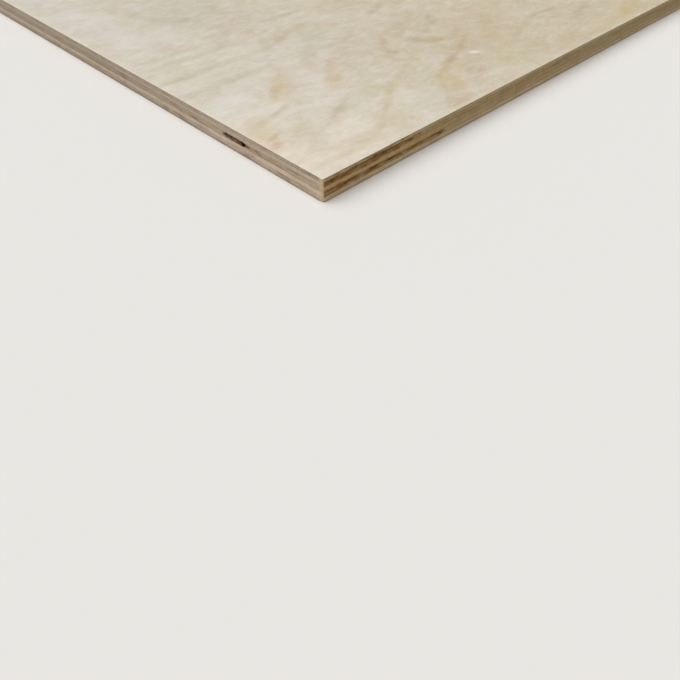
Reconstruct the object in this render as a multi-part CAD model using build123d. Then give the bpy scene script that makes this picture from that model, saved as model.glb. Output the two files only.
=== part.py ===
from build123d import *
import os

# Five-ply birch plywood sheet, lying flat.
# The origin is the middle of the underside, +Z is up through the face, +X runs along the grain
# of the face and +Y across it. Every size is in millimetres.

# The sheet as it was cut
SHEET_LENGTH = 300.0  # X, along the grain of the face
SHEET_WIDTH = 300.0  # Y, across the grain of the face

# The lay-up: five peeled veneers, none quite like another, with most sanded off the face
FACE_THICKNESS = 0.90
UPPER_CROSSBAND_THICKNESS = 1.10
CORE_THICKNESS = 1.35
LOWER_CROSSBAND_THICKNESS = 1.25
BACK_THICKNESS = 1.40

# The handled edges
CORNER_RADIUS = 0.70  # upright corners, worn by handling
ARRIS_RADIUS = 0.15  # outline of the face and of the back, broken by sanding

# The open knot in the core, cut through by the left edge (-X). It is a long shallow tear along the
# edge with one deep round hole in it.
KNOT_FROM_CORNER = 26.7  # from the front left corner to the near end of the tear
KNOT_LENGTH = 9.9  # along the edge
KNOT_DEPTH = 0.9  # of the tear, into the sheet
HOLE_FROM_CORNER = 28.8  # from the same corner to the middle of the hole
HOLE_WIDTH = 2.4  # along the edge
HOLE_DEPTH = 4.2  # into the sheet, along the grain of the core

# Node, thickness, from the underside up
LAY_UP = [
    ("back_veneer", BACK_THICKNESS),
    ("lower_crossband", LOWER_CROSSBAND_THICKNESS),
    ("core_veneer", CORE_THICKNESS),
    ("upper_crossband", UPPER_CROSSBAND_THICKNESS),
    ("face_veneer", FACE_THICKNESS),
]


def sheet_outline():
    """The outline that every veneer is trimmed to, with its worn corners."""
    return RectangleRounded(SHEET_LENGTH, SHEET_WIDTH, CORNER_RADIUS)


def veneer(thickness):
    """One veneer of the full outline, standing on Z = 0."""
    return extrude(sheet_outline(), amount=thickness)


def knot_outline():
    """The open knot seen from above: half an ellipse for the tear, half of a longer one for the hole."""
    left = -SHEET_LENGTH / 2
    front = -SHEET_WIDTH / 2
    tear_middle = front + KNOT_FROM_CORNER + KNOT_LENGTH / 2
    hole_middle = front + HOLE_FROM_CORNER
    tear = Pos(left, tear_middle) * Ellipse(KNOT_DEPTH, KNOT_LENGTH / 2)
    hole = Pos(left, hole_middle) * Ellipse(HOLE_DEPTH, HOLE_WIDTH / 2)
    return tear + hole


def break_outline(solid, upper):
    """Round the outer edge of a face: the upper outline of the solid, or else the lower one."""
    edges = solid.edges().group_by(Axis.Z)[-1 if upper else 0]
    return fillet(edges, ARRIS_RADIUS)


def build_sheet():
    """Each veneer at its own height, laid on the one under it."""
    pieces = {}
    height = 0.0
    for node, thickness in LAY_UP:
        piece = veneer(thickness)
        if node == "core_veneer":
            piece -= extrude(knot_outline(), amount=thickness)
        if node == "face_veneer":
            piece = break_outline(piece, upper=True)
        if node == "back_veneer":
            piece = break_outline(piece, upper=False)
        pieces[node] = Pos(0, 0, height) * piece
        height += thickness
    return pieces


os.makedirs("parts", exist_ok=True)
for node_name, solid in build_sheet().items():
    export_step(solid, f"parts/{node_name}.step")
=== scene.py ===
"""The looks of a five-ply birch plywood sheet, built veneer by veneer on its packed construction.

Lengths inside this script are in millimetres, in the sheet's own frame: +X along the grain of the
face, +Y across it, +Z up, with the origin in the middle of the underside. A mesh is turned to
metres when it is made.
"""

import logging
import math
from dataclasses import dataclass, field
from enum import Enum

import bpy
import numpy as np
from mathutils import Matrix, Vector


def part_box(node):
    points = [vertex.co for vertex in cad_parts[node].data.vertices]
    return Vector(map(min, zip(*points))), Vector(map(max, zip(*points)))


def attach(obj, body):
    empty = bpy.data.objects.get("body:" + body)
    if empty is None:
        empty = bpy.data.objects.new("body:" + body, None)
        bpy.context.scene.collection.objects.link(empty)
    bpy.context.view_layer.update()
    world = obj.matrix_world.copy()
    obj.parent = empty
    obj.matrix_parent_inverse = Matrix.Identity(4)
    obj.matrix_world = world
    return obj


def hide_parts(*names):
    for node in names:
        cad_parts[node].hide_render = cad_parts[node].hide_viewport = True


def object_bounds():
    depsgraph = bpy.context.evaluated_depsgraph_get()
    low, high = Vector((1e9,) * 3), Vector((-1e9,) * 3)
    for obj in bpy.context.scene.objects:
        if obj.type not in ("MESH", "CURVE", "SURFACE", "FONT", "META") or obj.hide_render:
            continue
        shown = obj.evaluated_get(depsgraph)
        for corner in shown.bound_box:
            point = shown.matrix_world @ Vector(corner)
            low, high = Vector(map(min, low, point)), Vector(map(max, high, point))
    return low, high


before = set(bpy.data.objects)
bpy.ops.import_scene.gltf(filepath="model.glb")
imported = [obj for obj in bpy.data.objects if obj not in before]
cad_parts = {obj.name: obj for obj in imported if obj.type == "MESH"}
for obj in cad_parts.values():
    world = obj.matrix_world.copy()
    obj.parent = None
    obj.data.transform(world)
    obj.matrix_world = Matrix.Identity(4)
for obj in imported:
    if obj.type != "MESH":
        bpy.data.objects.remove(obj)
CAD_LOW, CAD_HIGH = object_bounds()
LOG = logging.getLogger("plywood_sheet")
BAKE_MAP = "OFBake"
MM = 0.001
# A joint this close to one of the sheet's broad sides is that side, and doesn't waver.
EXACT = 0.01
# A mound reaches this far through the thickness, so that it is the same all through it.
FLAT = 1000.0
# Where the slope of a thin mound starts and ends, in its own reaches.
THIN_RIM = (0.0, 1.2)
# Least share of an outward direction that still faces one side of the sheet.
FACING = 0.99
# Row of a noise table about which heights in the edge are read.
HEIGHT_ROW = 20
Socket = bpy.types.NodeSocket


class Grain(Enum):
    """The way that a veneer's fibres run, as the number of the axis."""

    ALONG_X = 0
    ALONG_Y = 1


class Edge(Enum):
    """A side of the sheet's outline, numbered in the order that the outline is walked."""

    REAR = 0
    LEFT = 1
    FRONT = 2
    RIGHT = 3


class Side(Enum):
    """A broad side of a veneer."""

    UPPER = 1
    UNDER = -1


class Cut(Enum):
    """Which of a veneer's two materials a face of its mesh wears."""

    SAWN = 0
    PEELED = 1


def linear(code: str) -> tuple[float, float, float, float]:
    """Turn an sRGB colour into the linear one that a shader takes.

    Args:
        code: The colour as six hex digits after a hash.

    Returns:
        Red, green, blue and an alpha of 1.
    """
    parts = [int(code[i:i + 2], 16) / 255 for i in (1, 3, 5)]
    red, green, blue = [c / 12.92 if c <= 0.04045 else ((c + 0.055) / 1.055) ** 2.4 for c in parts]
    return red, green, blue, 1.0


def add_node(tree: bpy.types.NodeTree, kind: str, inputs: dict | None = None, out: int | str = 0,
             stops: tuple = (), **settings) -> Socket | None:
    """Add one shader node, set it up and link it.

    Args:
        tree: The node tree that the node goes into.
        kind: The node's type name.
        inputs: Input name or number to a value, or to the output socket that feeds it.
        out: Name or number of the output that is wanted.
        stops: For a colour ramp, its (place, grey level) pairs.
        settings: The node's own properties.

    Returns:
        The wanted output socket, if the node has outputs.
    """
    node = tree.nodes.new(kind)
    for name, value in settings.items():
        setattr(node, name, value)
    for key, value in (inputs or {}).items():
        if isinstance(value, Socket):
            tree.links.new(value, node.inputs[key])
        else:
            node.inputs[key].default_value = value
    for number, (place, level) in enumerate(stops):
        elements = node.color_ramp.elements
        element = elements[number] if number < 2 else elements.new(place)
        element.position = place
        element.color = (level, level, level, 1.0)
    return node.outputs[out] if len(node.outputs) else None


@dataclass(frozen=True)
class RandomWaves:
    """Smooth noise over two coordinates, the same each time for one seed."""

    seed: int
    cells: int = 1024
    rows: int = 64

    def at(self, along: np.ndarray, across: np.ndarray | float = 0.0) -> np.ndarray:
        """Read the noise.

        Args:
            along: First coordinate, in cells.
            across: Second coordinate, in cells.

        Returns:
            Values from -1 to 1, of the shape of the coordinates.
        """
        table = np.random.default_rng(self.seed).uniform(-1, 1, (self.cells, self.rows))
        along, across = np.broadcast_arrays(np.asarray(along, float), np.asarray(across, float))
        cell_a, cell_b = np.floor(along).astype(int), np.floor(across).astype(int)
        ease_a, ease_b = (t * t * (3 - 2 * t) for t in (along - cell_a, across - cell_b))
        near, far = (table[(cell_a + i) % self.cells, cell_b % self.rows] * (1 - ease_b)
                     + table[(cell_a + i) % self.cells, (cell_b + 1) % self.rows] * ease_b for i in (0, 1))
        return near * (1 - ease_a) + far * ease_a


@dataclass(frozen=True)
class OpenKnot:
    """The open knot that the left edge cuts through, in the core: a long shallow tear with one deep hole.

    Its places along the edge are measured from the front left corner, and its heights in the core
    run from -1 at the lower joint to 1 at the upper one. A ripple is the length of one wave of noise
    along the edge and the number of waves in half the core's height. A fade is where a tone ends
    outside an oval whose rim is at 1, and how far it runs before that.
    """

    from_corner: float = 26.7
    length: float = 9.9
    depth: float = 0.9
    ragged_ends: float = 0.4
    splinters: float = 0.28
    hole_from_corner: float = 29.1
    hole_width: float = 2.1
    hole_depth: float = 4.2
    height: float = 0.94
    squareness: float = 3.2
    rim_waver: float = 0.34
    rim_ripple: tuple[float, float] = (0.75, 1.3)
    splinter_ripple: tuple[float, float] = (0.9, 1.6)
    stain_from_corner: float = 25.7
    stain_length: float = 11.0
    stain_flatness: float = 0.6
    halo_tone: float = 0.1
    halo_end: float = 1.2
    torn_tone: float = 0.5
    torn_blotches: float = 0.18
    blotch_ripple: tuple[float, float] = (0.95, 1.0)
    torn_fade: tuple[float, float] = (1.3, 0.4)
    hole_shade_fade: tuple[float, float] = (2.0, 1.2)
    tear_seed: int = 71
    hole_seed: int = 72
    splinter_seed: int = 73
    stain_seed: int = 74
    blotch_seed: int = 75

    def _outside(self, from_corner: np.ndarray, rise: np.ndarray, middle: float, width: float,
                 seed: int) -> np.ndarray:
        """How far outside a ragged oval a place on the edge lies.

        Args:
            from_corner: Distances along the left edge from the front left corner.
            rise: Heights in the core, from -1 at its lower joint to 1 at its upper one.
            middle: Middle of the oval along the edge.
            width: Length of the oval along the edge.
            seed: Gives the oval its own rim.

        Returns:
            0 in the middle, 1 on the rim.
        """
        oval = np.abs((from_corner - middle) * 2 / width) ** self.squareness + (rise / self.height) ** 2
        waver = self._ripple(from_corner, rise, self.rim_ripple, seed)
        return oval + self.rim_waver * waver * np.clip(oval, 0, 1)

    def _ripple(self, from_corner: np.ndarray, rise: np.ndarray, ripple: tuple[float, float],
                seed: int) -> np.ndarray:
        """Noise of one kind over the cut core."""
        return RandomWaves(seed).at(from_corner / ripple[0], rise * ripple[1] + HEIGHT_ROW)

    def _tear(self, from_corner: np.ndarray, rise: np.ndarray) -> np.ndarray:
        """How far outside the shallow tear each place lies."""
        return self._outside(from_corner, rise, self.from_corner + self.length / 2,
                             self.length + self.ragged_ends, self.tear_seed)

    def _hole(self, from_corner: np.ndarray, rise: np.ndarray) -> np.ndarray:
        """How far outside the deep hole each place lies."""
        return self._outside(from_corner, rise, self.hole_from_corner, self.hole_width, self.hole_seed)

    def recess(self, from_corner: np.ndarray, rise: np.ndarray) -> np.ndarray:
        """How far the torn core lies behind the edge.

        Args:
            from_corner: Distances along the left edge from the front left corner.
            rise: Heights in the core, from -1 to 1.

        Returns:
            Depths into the sheet.
        """
        tear, hole = self._tear(from_corner, rise), self._hole(from_corner, rise)
        splinters = self._ripple(from_corner, rise, self.splinter_ripple, self.splinter_seed)
        ragged = 1 - self.splinters + self.splinters * splinters
        closed = np.abs(rise) > self.height
        depth = np.maximum(self.depth * ragged * np.sqrt(np.clip(1 - tear, 0, 1)),
                           self.hole_depth * np.sqrt(np.clip(1 - hole, 0, 1)))
        return np.where(closed, 0.0, depth)

    def darkness(self, from_corner: np.ndarray, rise: np.ndarray) -> np.ndarray:
        """How dark the wood in and around the knot is, with painted shade in the hole.

        Args:
            from_corner: Distances along the left edge from the front left corner.
            rise: Heights in the core, from -1 to 1.

        Returns:
            0 for sound wood, about a half in the tear, 1 for the painted shade in the hole.
        """
        tear, hole = self._tear(from_corner, rise), self._hole(from_corner, rise)
        stain = self._outside(from_corner, rise * self.stain_flatness, self.stain_from_corner,
                              self.stain_length, self.stain_seed)
        blotches = self._ripple(from_corner, rise, self.blotch_ripple, self.blotch_seed)
        halo = self.halo_tone * np.clip(self.halo_end - stain, 0, 1)
        (torn_end, torn_run), (hole_end, hole_run) = self.torn_fade, self.hole_shade_fade
        torn = (self.torn_tone + self.torn_blotches * blotches) * np.clip((torn_end - tear) / torn_run, 0, 1)
        hole_shade_share = np.clip((hole_end - hole) / hole_run, 0, 1)
        return np.maximum.reduce([halo, torn, hole_shade_share])


@dataclass
class TrimmedOutline:
    """The outline that all five veneers are sawn to, walked anticlockwise from the rear right corner."""

    length: float
    width: float
    corner_radius: float = 0.7
    pitch: float = 0.42
    fine_pitch: float = 0.12
    corner_steps: int = 8
    burnt_from: float = 0.8
    knot: OpenKnot = field(default_factory=OpenKnot)

    def __post_init__(self) -> None:
        """Walk the outline once and keep its points, their outward directions and what they face.

        A point's turn is the number of its edge plus its share of that edge's straight run.
        """
        places, normals, turns = [], [], []
        half = np.array([self.length, self.width]) / 2
        for edge, outward in zip(Edge, ((0.0, 1.0), (-1.0, 0.0), (0.0, -1.0), (1.0, 0.0))):
            side, normal = edge.value, np.array(outward)
            ahead = np.array([-normal[1], normal[0]])
            run = 2 * (abs(half @ ahead) - self.corner_radius)
            steps = self._steps(edge, run)
            start = normal * abs(half @ normal) - ahead * run / 2
            places += [start + ahead * t for t in steps]
            normals += [normal] * len(steps)
            turns += [side + t / run for t in steps]
            pivot = start + ahead * run - normal * self.corner_radius
            for angle in np.linspace(0, math.pi / 2, self.corner_steps + 1)[1:-1]:
                normals.append(normal * math.cos(angle) + ahead * math.sin(angle))
                places.append(pivot + normals[-1] * self.corner_radius)
                turns.append(side + 1.0)
        self.places, self.normals, self.turns = np.array(places), np.array(normals), np.array(turns)
        strides = np.linalg.norm(np.diff(self.places, axis=0), axis=1)
        self.travel = np.concatenate([[0], np.cumsum(strides)])
        self.from_corner = self.places + half
        self.to_corner = np.abs(self.turns - np.round(self.turns)) * self.length
        self.on_left = self.normals[:, 0] < -FACING
        self.on_front = self.normals[:, 1] < -FACING
        self.burnt = self.normals[:, 1] < -self.burnt_from

    def _steps(self, edge: Edge, run: float) -> np.ndarray:
        """Distances along one straight side, closer together at the open knot.

        Args:
            edge: The side.
            run: The side's straight length.

        Returns:
            Rising distances from 0 to run.
        """
        steps = np.linspace(0, run, round(run / self.pitch) + 1)
        if edge is not Edge.LEFT:
            return steps
        first = run + self.corner_radius - self.knot.from_corner - self.knot.length - self.pitch
        last = first + self.knot.length + 2 * self.pitch
        outside = steps[(steps < first - self.pitch / 2) | (steps > last + self.pitch / 2)]
        return np.sort(np.concatenate([outside, np.arange(first, last, self.fine_pitch)]))


@dataclass
class GlueJoints:
    """Heights of the joints between the veneers round the outline, which waver a little."""

    outline: TrimmedOutline
    thickness: float
    slow_waver: float = 0.05
    slow_length: float = 24.0
    quick_waver: float = 0.02
    quick_length: float = 4.0

    def height(self, level: float, number: int) -> np.ndarray:
        """One joint's height along the outline, exact on the sheet's two broad sides.

        Args:
            level: Its mean height.
            number: Tells one joint from another.

        Returns:
            A height for each point of the outline.
        """
        along = self.outline.travel
        if level < EXACT or level > self.thickness - EXACT:
            return np.full(len(along), level)
        slow = RandomWaves(10 * number).at(along / self.slow_length)
        quick = RandomWaves(10 * number + 1).at(along / self.quick_length)
        return level + self.slow_waver * slow + self.quick_waver * quick


@dataclass
class VeneerMesh:
    """Points, faces and their map places, gathered piece by piece."""

    points: list[np.ndarray] = field(default_factory=list)
    faces: list[list[int]] = field(default_factory=list)
    places: list[np.ndarray] = field(default_factory=list)
    cuts: list[int] = field(default_factory=list)
    values: dict[str, list[np.ndarray]] = field(default_factory=dict)
    sharp_from: float = 50.0

    def add_points(self, points: np.ndarray, **values: np.ndarray | float) -> np.ndarray:
        """Add points with their surface values.

        Args:
            points: One row of x, y and z for each point.
            values: A number or an array for each surface value, by name.

        Returns:
            The new points' numbers.
        """
        start = sum(len(p) for p in self.points)
        self.points.append(points)
        for name, value in values.items():
            self.values.setdefault(name, []).append(np.broadcast_to(value, len(points)))
        return np.arange(start, start + len(points))

    def add_faces(self, corners: np.ndarray, places: np.ndarray, cut: Cut) -> None:
        """Add faces that wear one material.

        Args:
            corners: One row of point numbers for each face.
            places: The map place of each corner.
            cut: Which material they wear.
        """
        self.faces += corners.tolist()
        self.places.append(places.reshape(-1, 2))
        self.cuts += [cut.value] * len(corners)

    def make(self, name: str) -> bpy.types.Object:
        """Turn what was gathered into an object in metres.

        Args:
            name: The object's name.

        Returns:
            The object, linked to the scene.
        """
        mesh = bpy.data.meshes.new(name)
        mesh.from_pydata((np.concatenate(self.points) * MM).tolist(), [], self.faces)
        mesh.polygons.foreach_set("material_index", self.cuts)
        layer = mesh.uv_layers.new(name=BAKE_MAP)
        layer.uv.foreach_set("vector", np.concatenate(self.places).astype(np.float32).ravel())
        for key, parts in self.values.items():
            attribute = mesh.attributes.new(key, "FLOAT", "POINT")
            attribute.data.foreach_set("value", np.concatenate(parts).astype(np.float32))
        mesh.shade_smooth()
        mesh.set_sharp_from_angle(angle=math.radians(self.sharp_from))
        mesh.update()
        made = bpy.data.objects.new(name, mesh)
        bpy.context.scene.collection.objects.link(made)
        return made


@dataclass(frozen=True)
class Mound:
    """An oval place on a broad side that stands out from the wood around it.

    Its middle is measured from the front left corner, along and across the grain of the face. Its
    first reach lies along the grain unless lean, in degrees, turns it anticlockwise.
    """

    along: float
    across: float
    reach: float
    side_reach: float
    strength: float
    lean: float = 0.0


@dataclass(frozen=True)
class Stain:
    """Mounds of one tone, which the grain makes ragged by a share of their strength."""

    tone: str
    mounds: tuple[Mound, ...]
    rim: tuple[float, float] = (0.3, 1.2)
    ragged: float = 0.5


def ring_cut(strength: float, side_reach: float, *places: tuple[float, float]) -> tuple[Mound, ...]:
    """Follow a growth ring where it comes to the surface, as thin mounds that run into each other.

    With THIN_RIM, two neighbours add up to the same strength all the way from one middle to the next.

    Args:
        strength: How far the line stands out.
        side_reach: Its reach to either side.
        places: Places that it runs through, measured as a mound's middle is.

    Returns:
        One mound for each stretch between two places.
    """
    mounds = []
    for (x, y), (next_x, next_y) in zip(places, places[1:]):
        reach = math.hypot(next_x - x, next_y - y) / THIN_RIM[1]
        lean = math.degrees(math.atan2(next_y - y, next_x - x))
        mounds.append(Mound((x + next_x) / 2, (y + next_y) / 2, reach, side_reach, strength, lean))
    return tuple(mounds)


@dataclass(frozen=True)
class WoodPattern:
    """What the finishes of one wood share: places in millimetres, swells of a real size, and paint."""

    tree: bpy.types.NodeTree
    seed: float
    turn_step: float = 1.7
    spread: tuple[float, float, float] = (7.3, 3.1, 5.7)
    octave_share: float = 0.55
    ior: float = 1.5
    bump: float = 0.6

    def place(self) -> Socket:
        """Give the place on the sheet in millimetres."""
        metres = add_node(self.tree, "ShaderNodeTexCoord", out="Object")
        return add_node(self.tree, "ShaderNodeVectorMath", {0: metres, "Scale": 1 / MM}, operation="SCALE")

    def swells(self, place: Socket, reach: tuple[float, float, float], turn: int, detail: float = 3.0,
               low: float = 0.3, high: float = 0.7, to: tuple[float, float] = (0.0, 1.0)) -> Socket:
        """Noise whose swells have a real size.

        Args:
            place: Socket with the place in millimetres.
            reach: Size of one swell along X, Y and Z.
            turn: Moves the noise to a place of its own.
            detail: Octaves of finer noise.
            low: Noise level that becomes the first number of to.
            high: Noise level that becomes the second.
            to: The range that comes out.

        Returns:
            Socket with the noise.
        """
        start = self.seed + self.turn_step * turn
        waves = add_node(self.tree, "ShaderNodeTexNoise", {
            "Vector": place, "Scale": 1.0, "Detail": detail, "Roughness": self.octave_share})
        laid = waves.node.texture_mapping
        laid.scale = [1 / r for r in reach]
        laid.translation = [s * start for s in self.spread]
        return self.stretch(waves, low, high, to)

    def stretch(self, value: Socket, low: float = 0.0, high: float = 1.0,
                to: tuple[float, float] = (0.0, 1.0), smooth: bool = False) -> Socket:
        """Turn one range of numbers into another.

        Args:
            value: Socket with the number.
            low: What becomes the first number of to.
            high: What becomes the second.
            to: The range that comes out.
            smooth: Whether the change eases in and out.

        Returns:
            Socket with the new number.
        """
        return add_node(self.tree, "ShaderNodeMapRange", {
            "Value": value, "From Min": low, "From Max": high, "To Min": to[0], "To Max": to[1]},
            interpolation_type="SMOOTHSTEP" if smooth else "LINEAR")

    def calculate(self, operation: str, first: Socket | float, second: Socket | float,
                  clamp: bool = False) -> Socket:
        """Work out one number from two.

        Args:
            operation: The math node's own name for what is done.
            first: Socket or number.
            second: Socket or number.
            clamp: Whether the result is kept between 0 and 1.

        Returns:
            Socket with the result.
        """
        return add_node(self.tree, "ShaderNodeMath", {0: first, 1: second},
                        operation=operation, use_clamp=clamp)

    def paint(self, base: Socket | tuple, coats: list[tuple]) -> Socket:
        """Lay tones over a base colour, one after the other.

        Args:
            base: Socket or colour.
            coats: For each tone its sRGB colour or socket, its strength, and the socket that says
                where it lies.

        Returns:
            Socket with the painted colour.
        """
        for tone, strength, where in coats:
            share = self.calculate("MULTIPLY", where, strength, clamp=True)
            top = linear(tone) if isinstance(tone, str) else tone
            base = add_node(self.tree, "ShaderNodeMix", {0: share, 6: base, 7: top}, out=2, data_type="RGBA")
        return base

    def finish(self, colour: Socket, roughness: Socket, relief: Socket, depth: float, gloss: float) -> None:
        """Close the material with bare wood's own shader.

        Args:
            colour: Socket with the base colour.
            roughness: Socket with the roughness.
            relief: Socket with the height of the finest relief, from 0 to 1.
            depth: What a height of 1 stands for.
            gloss: How much of the light its surface gives back at once, where 0.5 is smooth varnish.
        """
        normal = add_node(self.tree, "ShaderNodeBump", {
            "Strength": self.bump, "Distance": depth * MM, "Height": relief})
        shader = add_node(self.tree, "ShaderNodeBsdfPrincipled", {
            "Base Color": colour, "Roughness": roughness, "Normal": normal, "IOR": self.ior,
            "Specular IOR Level": gloss})
        add_node(self.tree, "ShaderNodeOutputMaterial", {"Surface": shader})


def new_material(name: str) -> bpy.types.Material:
    """Start a material with an empty node tree.

    Args:
        name: The material's name.

    Returns:
        The material.
    """
    made = bpy.data.materials.new(name)
    made.use_nodes = True
    made.node_tree.nodes.clear()
    return made


@dataclass(frozen=True)
class RotaryCutBirch:
    """Birch peeled off the log by a long knife, dried and sanded with 180 grit.

    Peeling unrolls the log, so each growth ring comes to the surface as a wandering contour, palest
    just past its boundary and tanner towards the next. The eye sees a soft, pale cream field,
    cloudy at a few millimetres, with faint contour lines, ragged tan islands and the short
    hairlines of cut vessels. Dry bare wood: IOR about 1.5, roughness 0.55 to 0.7.
    """

    name: str
    seed: float
    # The field's tones under painted light, cooler by the left edge and warmer further in; the cream paints
    # a pool of light at the near corner and a highlight on the arris.
    cool_tone_and_light: str = "#DDD8CD"
    warm_tone_and_light: str = "#D2C6AD"
    painted_light_cream: str = "#E9DECB"
    late_wood: str = "#B79E74"
    ring_line: str = "#8A7747"
    rosy: str = "#C9AE9A"
    green: str = "#C6BF97"
    grey: str = "#A0947B"
    milky: str = "#F2ECE0"
    vessel: str = "#8F7449"
    rings: tuple[Mound, ...] = ()
    stains: tuple[Stain, ...] = ()
    quiet: tuple[Mound, ...] = ()
    ring_reach: tuple[float, float] = (120.0, 60.0)
    ring_count: float = 7.0
    ripple_fineness: float = 3.0
    ripple_faintness: float = 4.0
    ring_slope: tuple[float, float] = (0.25, 1.1)
    quiet_slope: tuple[float, float] = (0.8, 1.15)
    stain_swell: tuple[float, float, float] = (5.0, 3.2, 20.0)
    stain_turn: int = 40
    corner: tuple[float, float] = (-150.0, -150.0)
    cool_light_reach: float = 120.0
    light_pool_reach: float = 68.0
    light_pool_slope: tuple[float, float] = (0.1, 1.0)
    figure: float = 1.0
    roughness: float = 0.6
    roughness_spread: tuple[float, float] = (-0.05, 0.08)
    gloss: float = 0.32
    fibre_depth: float = 0.02

    def material(self) -> bpy.types.Material:
        """Build the material.

        Returns:
            The finished material.
        """
        made = new_material(self.name)
        wood = WoodPattern(made.node_tree, self.seed)
        place = wood.place()
        torn = self._feathered(wood, place)
        late, boundary = self._rings(wood, torn)
        fibre = wood.swells(place, (7.0, 0.4, 4.0), 9, low=0.25, high=0.75)
        vessels = wood.swells(place, (2.2, 0.2, 1.0), 20, detail=2.0, low=0.6, high=0.72)
        # Each coat is a tone, its strength and where it lies, from the widest clouds to the finest.
        # Real fibres are 0.02 mm thick and vessels 0.1 mm, so both are drawn coarser to show.
        coats = [
            (self.grey, 0.2, wood.swells(torn, (30.0, 17.0, 30.0), 21, low=0.45, high=0.75)),
            (self.late_wood, 0.3 * self.figure, late),
            (self.ring_line, 0.24 * self.figure, boundary),
            (self.rosy, 0.38, wood.swells(torn, (9.0, 6.5, 30.0), 22, low=0.47, high=0.7)),
            (self.green, 0.41, wood.swells(torn, (10.0, 7.5, 30.0), 23, low=0.47, high=0.7)),
            (self.milky, 0.26, wood.swells(torn, (6.0, 4.2, 30.0), 24, detail=4.0, low=0.46, high=0.74)),
            (self.grey, 0.12, wood.swells(torn, (3.4, 2.6, 30.0), 25, low=0.46, high=0.72)),
            (self.milky, 0.2, wood.swells(torn, (2.4, 1.5, 30.0), 27, low=0.5, high=0.74)),
            (self.late_wood, 0.14, wood.swells(place, (1.7, 0.9, 4.0), 26, low=0.45, high=0.75)),
            (self.late_wood, 0.1, fibre),
        ]
        # A painted highlight on the arris rows that wear this material.
        arris_highlight = add_node(wood.tree, "ShaderNodeAttribute", out="Fac", attribute_name="arris_highlight")
        coats.append((self.painted_light_cream, 0.22, arris_highlight))
        for stain in self.stains:
            coats.append((stain.tone, 1.0, self._stained(wood, torn if stain.ragged else place, stain)))
        coats.append((self.vessel, 0.26, vessels))
        colour = wood.paint(self._field(wood, place), coats)
        smoothest, roughest = (self.roughness + spread for spread in self.roughness_spread)
        rough = wood.stretch(late, to=(smoothest, roughest))
        relief = wood.calculate("SUBTRACT", fibre, vessels)
        wood.finish(colour, rough, relief, self.fibre_depth, self.gloss)
        return made

    def _feathered(self, wood: WoodPattern, place: Socket) -> Socket:
        """Push places along the grain by the fibre they lie in, so that a ring's rim runs out in fibres.

        Args:
            wood: The wood's pattern.
            place: Socket with the place in millimetres.

        Returns:
            Socket with the pushed place.
        """
        broad = wood.swells(place, (12.0, 2.2, 10.0), 2, detail=2.0, to=(-0.8, 0.8))
        fine = wood.swells(place, (5.0, 0.5, 10.0), 3, detail=2.0, to=(-0.3, 0.3))
        both = wood.calculate("ADD", broad, fine)
        along = add_node(wood.tree, "ShaderNodeCombineXYZ", {"X": both})
        return add_node(wood.tree, "ShaderNodeVectorMath", {0: place, 1: along}, operation="ADD")

    def _rings(self, wood: WoodPattern, place: Socket) -> tuple[Socket, Socket]:
        """Growth rings where the knife cut them.

        Args:
            wood: The wood's pattern.
            place: Socket with the pushed place.

        Returns:
            Sockets with the late wood and with the rings' boundaries.
        """
        reach_x, reach_y = self.ring_reach
        height = wood.swells(place, (reach_x, reach_y, 60.0), 0, detail=1.0, low=0.0, high=1.0,
                             to=(0.0, self.ring_count))
        finer, fainter = self.ripple_fineness, self.ripple_faintness
        ripple = wood.swells(place, (reach_x / finer, reach_y / finer, 60.0), 1, low=0.0, high=1.0,
                             to=(0.0, self.ring_count / fainter))
        height = wood.calculate("ADD", height, ripple)
        height = self._mounds(wood, place, self.rings, height, self.ring_slope)
        phase = add_node(wood.tree, "ShaderNodeMath", {0: height}, operation="FRACT")
        late = add_node(wood.tree, "ShaderNodeValToRGB", {"Fac": phase}, stops=(
            (0.0, 0.75), (1.0, 1.0), (0.12, 0.1), (0.3, 0.0), (0.6, 0.3), (0.9, 0.85)))
        line = add_node(wood.tree, "ShaderNodeValToRGB", {"Fac": phase}, stops=(
            (0.0, 0.7), (1.0, 1.0), (0.1, 0.0), (0.78, 0.0)))
        fade = wood.swells(place, (20.0, 11.0, 40.0), 5, low=0.43, high=0.68)
        thin = wood.swells(place, (50.0, 30.0, 40.0), 6, to=(0.4, 1.0))
        loud = self._mounds(wood, place, self.quiet, 1.0, self.quiet_slope)
        late, line = (wood.calculate("MULTIPLY", shade, loud) for shade in (late, line))
        return wood.calculate("MULTIPLY", late, thin), wood.calculate("MULTIPLY", line, fade)

    def _mounds(self, wood: WoodPattern, place: Socket, mounds: tuple[Mound, ...], ground: Socket | float,
                slope: tuple[float, float]) -> Socket | float:
        """Raise some mounds on a ground.

        Args:
            wood: The wood's pattern.
            place: Socket with the place in millimetres.
            mounds: The mounds.
            ground: Socket or number that they stand on.
            slope: Where a mound's slope starts and ends, in its own reaches.

        Returns:
            Socket with the sum, or the ground itself if there are no mounds.
        """
        start, end = slope
        for mound in mounds:
            height = add_node(wood.tree, "ShaderNodeTexGradient", {"Vector": place}, out="Fac",
                              gradient_type="SPHERICAL")
            laid = height.node.texture_mapping
            laid.vector_type = "TEXTURE"
            laid.translation = (self.corner[0] + mound.along, self.corner[1] + mound.across, 0.0)
            laid.rotation = (0.0, 0.0, math.radians(mound.lean))
            laid.scale = (mound.reach * end, mound.side_reach * end, FLAT)
            rise = wood.stretch(height, 0.0, 1 - start / end, (0.0, mound.strength), smooth=True)
            ground = wood.calculate("ADD", ground, rise)
        return ground

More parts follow.
